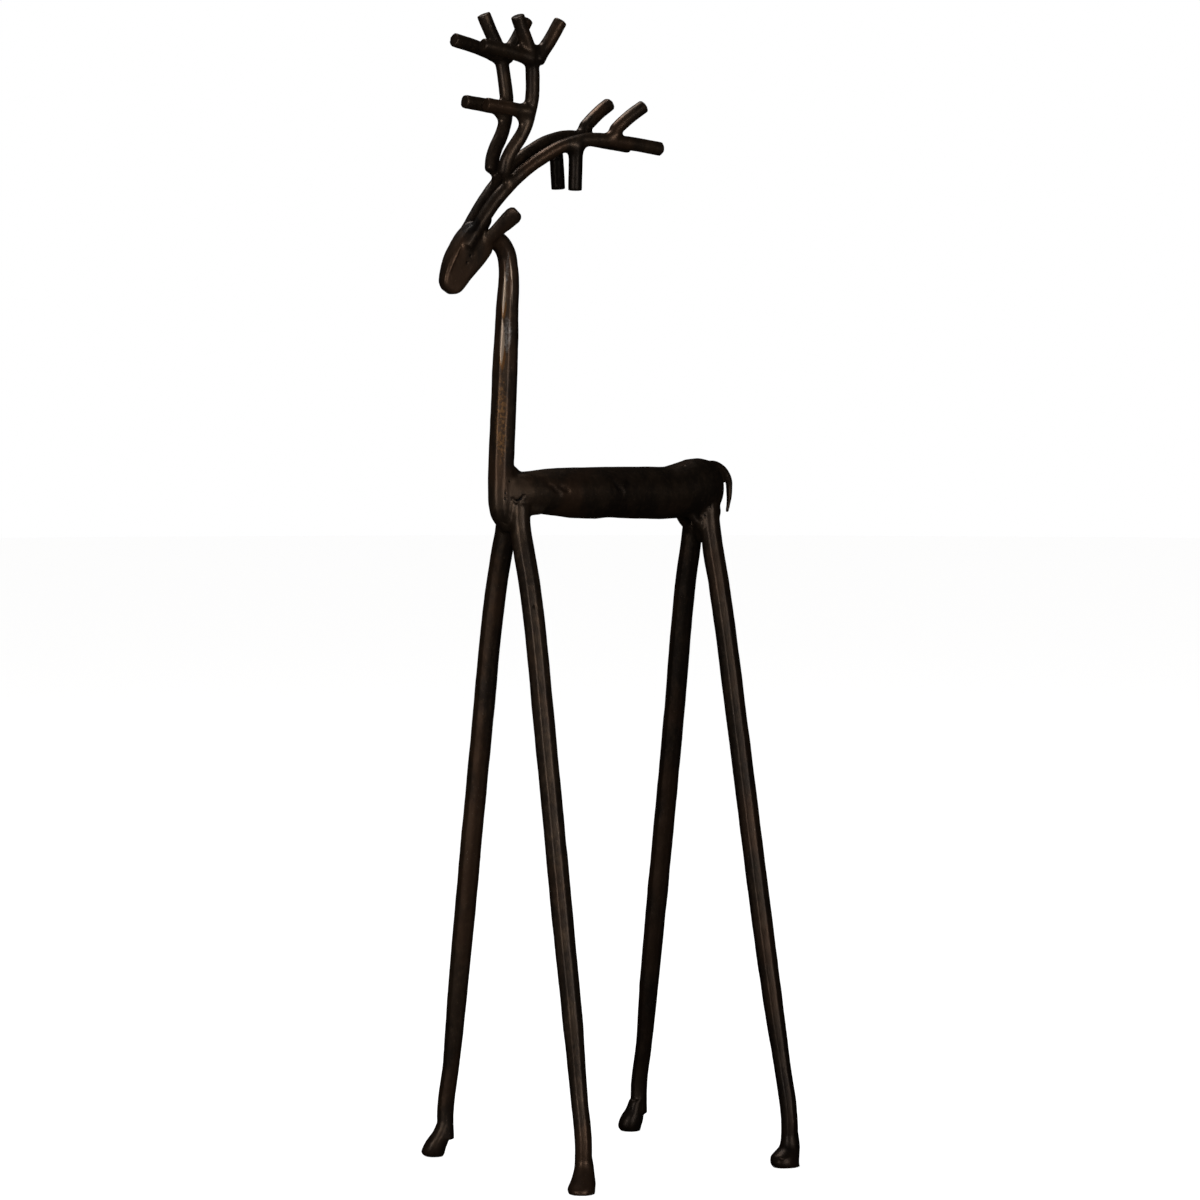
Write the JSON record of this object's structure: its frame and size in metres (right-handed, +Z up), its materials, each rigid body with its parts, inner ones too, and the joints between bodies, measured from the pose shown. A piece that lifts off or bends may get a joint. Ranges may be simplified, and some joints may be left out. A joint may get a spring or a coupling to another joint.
{
  "type": "reindeer figurine",
  "caption": "Slim long-legged reindeer figurine welded from forged round iron bars, with a wedge head, branched antlers and small forged hooves.",
  "frame": {"origin": "on the floor, below the middle of the figure's overall length and width", "axes": "+Z up from the hooves to the antlers, -X the way the deer faces, -Y its left side"},
  "size_m": [0.1694, 0.1338, 0.5427],
  "materials": {
    "iron": "satin"
  },
  "bodies": {
    "root": {"body": "iron", "neck": "iron", "head": "iron", "ear_left": "iron", "ear_right": "iron", "leg_front_left": "iron", "leg_front_right": "iron", "leg_rear_left": "iron", "leg_rear_right": "iron", "tail": "iron", "antler_left_beam": "iron", "antler_left_branch": "iron", "antler_left_brow_tine": "iron", "antler_left_fork_front": "iron", "antler_left_fork_top": "iron", "antler_left_fork_back": "iron", "antler_left_drop_tine": "iron", "antler_left_rear_tine": "iron", "antler_right_beam": "iron", "antler_right_branch": "iron", "antler_right_brow_tine": "iron", "antler_right_fork_front": "iron", "antler_right_fork_top": "iron", "antler_right_fork_back": "iron", "antler_right_drop_tine": "iron", "antler_right_rear_tine": "iron"}
  },
  "joints": []
}
